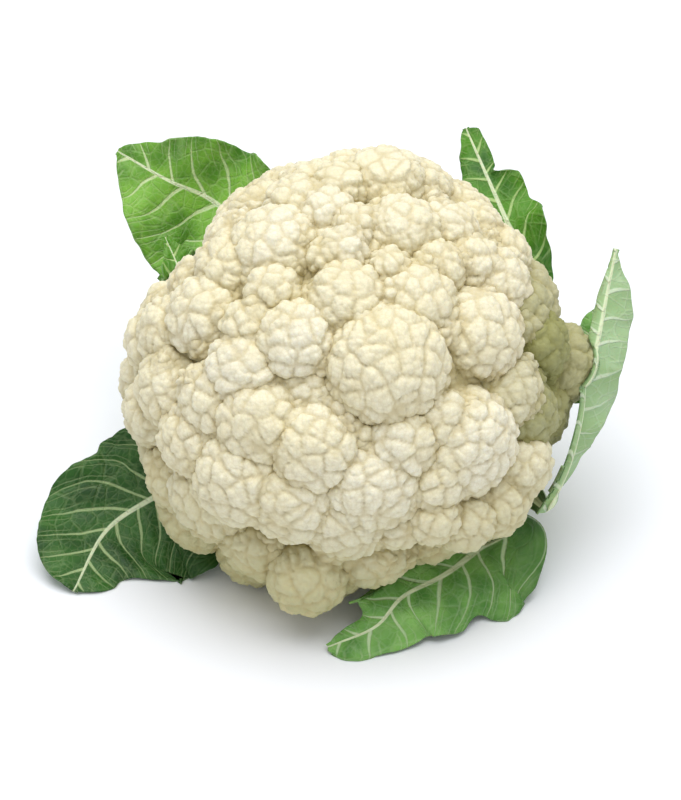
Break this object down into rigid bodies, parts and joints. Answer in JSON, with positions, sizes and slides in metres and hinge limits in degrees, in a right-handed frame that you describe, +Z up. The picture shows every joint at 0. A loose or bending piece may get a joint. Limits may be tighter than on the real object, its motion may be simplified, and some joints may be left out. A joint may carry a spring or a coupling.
{
  "type": "cauliflower",
  "caption": "Whole cauliflower head with its leaves: a domed curd of florets on a short cut stalk, tipped forward on a table with leaves round it.",
  "frame": {"origin": "on the table, under the middle of the whole thing's bounding box", "axes": "+Z up from the table, -Y towards the side that the crown of the curd tips to, +X to that viewer's right"},
  "size_m": [0.2402, 0.2056, 0.1584],
  "materials": {
    "curd": "matte, creamy white",
    "stalk": "satin, pale green",
    "leaf": "satin green with pale veins"
  },
  "bodies": {
    "root": {"curd": "curd", "stalk": "stalk", "leaf_upper_left": "leaf", "leaf_small_left": "leaf", "leaf_upper_right": "leaf", "leaf_small_right": "leaf", "leaf_right": "leaf", "leaf_lower_right": "leaf", "leaf_lower_left": "leaf"}
  },
  "joints": []
}
